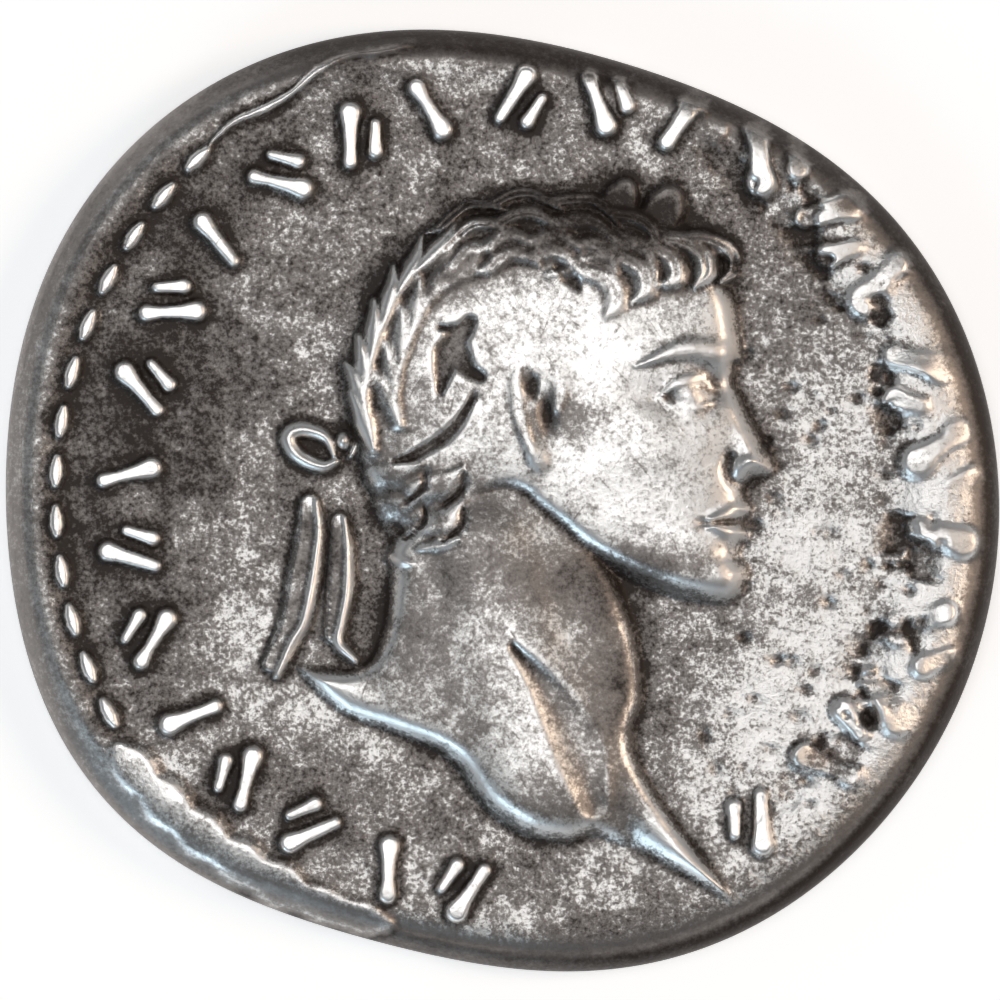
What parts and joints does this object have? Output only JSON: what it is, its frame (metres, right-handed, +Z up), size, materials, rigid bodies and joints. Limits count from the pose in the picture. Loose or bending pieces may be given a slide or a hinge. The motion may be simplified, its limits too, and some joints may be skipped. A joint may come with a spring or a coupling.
{
  "type": "denarius coin",
  "caption": "Worn hand-struck silver coin with a wreathed head in profile on one side and a plain altar on the other.",
  "frame": {"origin": "on the surface that the coin lies on, below the middle of its bounding box", "axes": "+Z up out of the portrait side, +X from the nape of the portrait towards its face, +Y towards its crown"},
  "size_m": [0.019, 0.018, 0.0019],
  "materials": {
    "silver": "worn satin silver, rubbed bright on its high places, with brown-black patina in the recesses"
  },
  "bodies": {
    "root": {"coin": "silver"}
  },
  "joints": []
}
